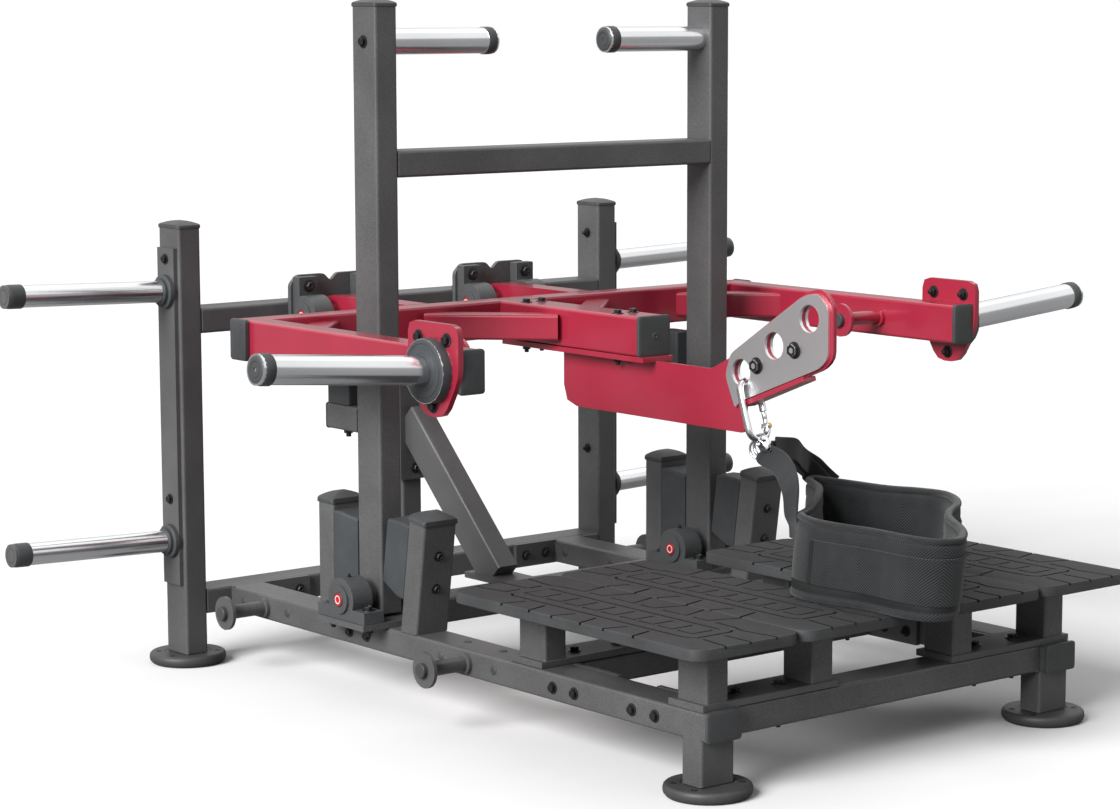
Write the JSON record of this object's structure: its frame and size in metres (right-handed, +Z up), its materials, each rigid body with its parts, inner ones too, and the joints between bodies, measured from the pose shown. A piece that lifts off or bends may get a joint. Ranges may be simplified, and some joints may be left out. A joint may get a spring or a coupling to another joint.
{
  "type": "belt squat machine",
  "caption": "Floor-standing belt squat trainer: tread platform, pivoted lever arm with plate horns, hook and padded belt, and a swinging handle frame.",
  "frame": {"origin": "on the floor under the middle of the machine's outline", "axes": "+X to the machine's right side, +Y from the tread platform to the rear posts, +Z up"},
  "size_m": [1.989, 1.7414, 1.315],
  "materials": {
    "frame_paint": "fine textured charcoal powder coat",
    "arm_paint": "glossy raspberry red powder coat",
    "bearing_paint": "dark blue-grey paint on cast housings",
    "rubber": "fine grained dark grey rubber",
    "tread_rubber": "zigzag grooved tread rubber",
    "chrome": "satin chrome",
    "wear_steel": "brushed",
    "cap_plastic": "moulded black caps",
    "fastener": "black oxide bolts and nuts",
    "brass": "turned",
    "belt_fabric": "charcoal herringbone weave",
    "webbing": "ribbed polyester webbing"
  },
  "bodies": {
    "base": {"front_foot_pad_right": "rubber", "front_foot_pad_left": "rubber", "rear_foot_pad_right": "rubber", "rear_foot_pad_left": "rubber", "front_bumper_pad_right": "rubber", "front_bumper_pad_left": "rubber", "rear_bumper_pad_right": "rubber", "rear_bumper_pad_left": "rubber", "inner_tread_board_right": "tread_rubber", "inner_tread_board_left": "tread_rubber", "outer_tread_board_right": "tread_rubber", "outer_tread_board_left": "tread_rubber", "rail_right": "frame_paint", "rail_left": "frame_paint", "rear_post_right": "frame_paint", "rear_post_left": "frame_paint", "front_platform_stand_right": "frame_paint", "front_platform_stand_left": "frame_paint", "rear_platform_stand_right": "frame_paint", "rear_platform_stand_left": "frame_paint", "rear_bumper_post_right": "frame_paint", "rear_bumper_post_left": "frame_paint", "front_bumper_post_right": "frame_paint", "front_bumper_post_left": "frame_paint", "rear_bracket_right": "frame_paint", "rear_bracket_left": "frame_paint", "storage_rack_right": "frame_paint", "storage_rack_left": "frame_paint", "front_cross_tube": "frame_paint", "middle_cross_tube": "frame_paint", "pivot_cross_tube": "frame_paint", "rear_base_tube": "frame_paint", "rear_upper_frame": "frame_paint", "diagonal_brace": "frame_paint", "handle_bearing_outer_right": "bearing_paint", "handle_bearing_outer_left": "bearing_paint", "handle_bearing_inner_right": "bearing_paint", "handle_bearing_inner_left": "bearing_paint", "arm_bearing_outer_right": "bearing_paint", "arm_bearing_outer_left": "bearing_paint", "arm_bearing_inner_right": "bearing_paint", "arm_bearing_inner_left": "bearing_paint"},
    "handle_frame": {"handle_upright_right": "frame_paint", "handle_upright_left": "frame_paint", "handle_right": "chrome", "handle_left": "chrome", "arm_support_pad_right": "rubber", "arm_support_pad_left": "rubber", "handle_crossbar": "frame_paint"},
    "lever_arm": {"arm_centre": "arm_paint", "lever_plate": "arm_paint", "hook_wear_plates": "wear_steel", "arm_side_right": "arm_paint", "arm_side_left": "arm_paint", "weight_horn_right": "chrome", "weight_horn_left": "chrome"},
    "carabiner": {"carabiner": "chrome"},
    "gate": {"carabiner_gate": "chrome"},
    "belt": {"belt_straps": "webbing", "belt": "belt_fabric"}
  },
  "joints": [
    {"name": "handle_swing", "type": "hinge", "parent": "base", "child": "handle_frame", "pos_m": [0, 0.29322, 0.1993], "axis": [1, 0, 0], "range_deg": [0, 8.2]},
    {"name": "arm_lift", "type": "hinge", "parent": "base", "child": "lever_arm", "pos_m": [0, 0.70812, 0.687], "axis": [-1, 0, 0], "range_deg": [0, 20]},
    {"name": "carabiner_swing", "type": "hinge", "parent": "lever_arm", "child": "carabiner", "pos_m": [0, -0.27682, 0.64303], "axis": [-1, 0, 0], "range_deg": [0, 20]},
    {"name": "belt_swing", "type": "hinge", "parent": "carabiner", "child": "belt", "pos_m": [0, -0.3183, 0.52256], "axis": [-0.7267, -0.6869, 0], "range_deg": [0, 20]},
    {"name": "gate_turn", "type": "hinge", "parent": "carabiner", "child": "gate", "pos_m": [0.0225, -0.30918, 0.54904], "axis": [0, -0.9455, 0.3256], "range_deg": [0, 25], "stiffness_Nm_per_rad": 0.02, "springref_deg": -11.46}
  ],
  "couplings": [
    {"joint": "carabiner_swing", "follows": "belt_swing", "ratio": 1}
  ]
}
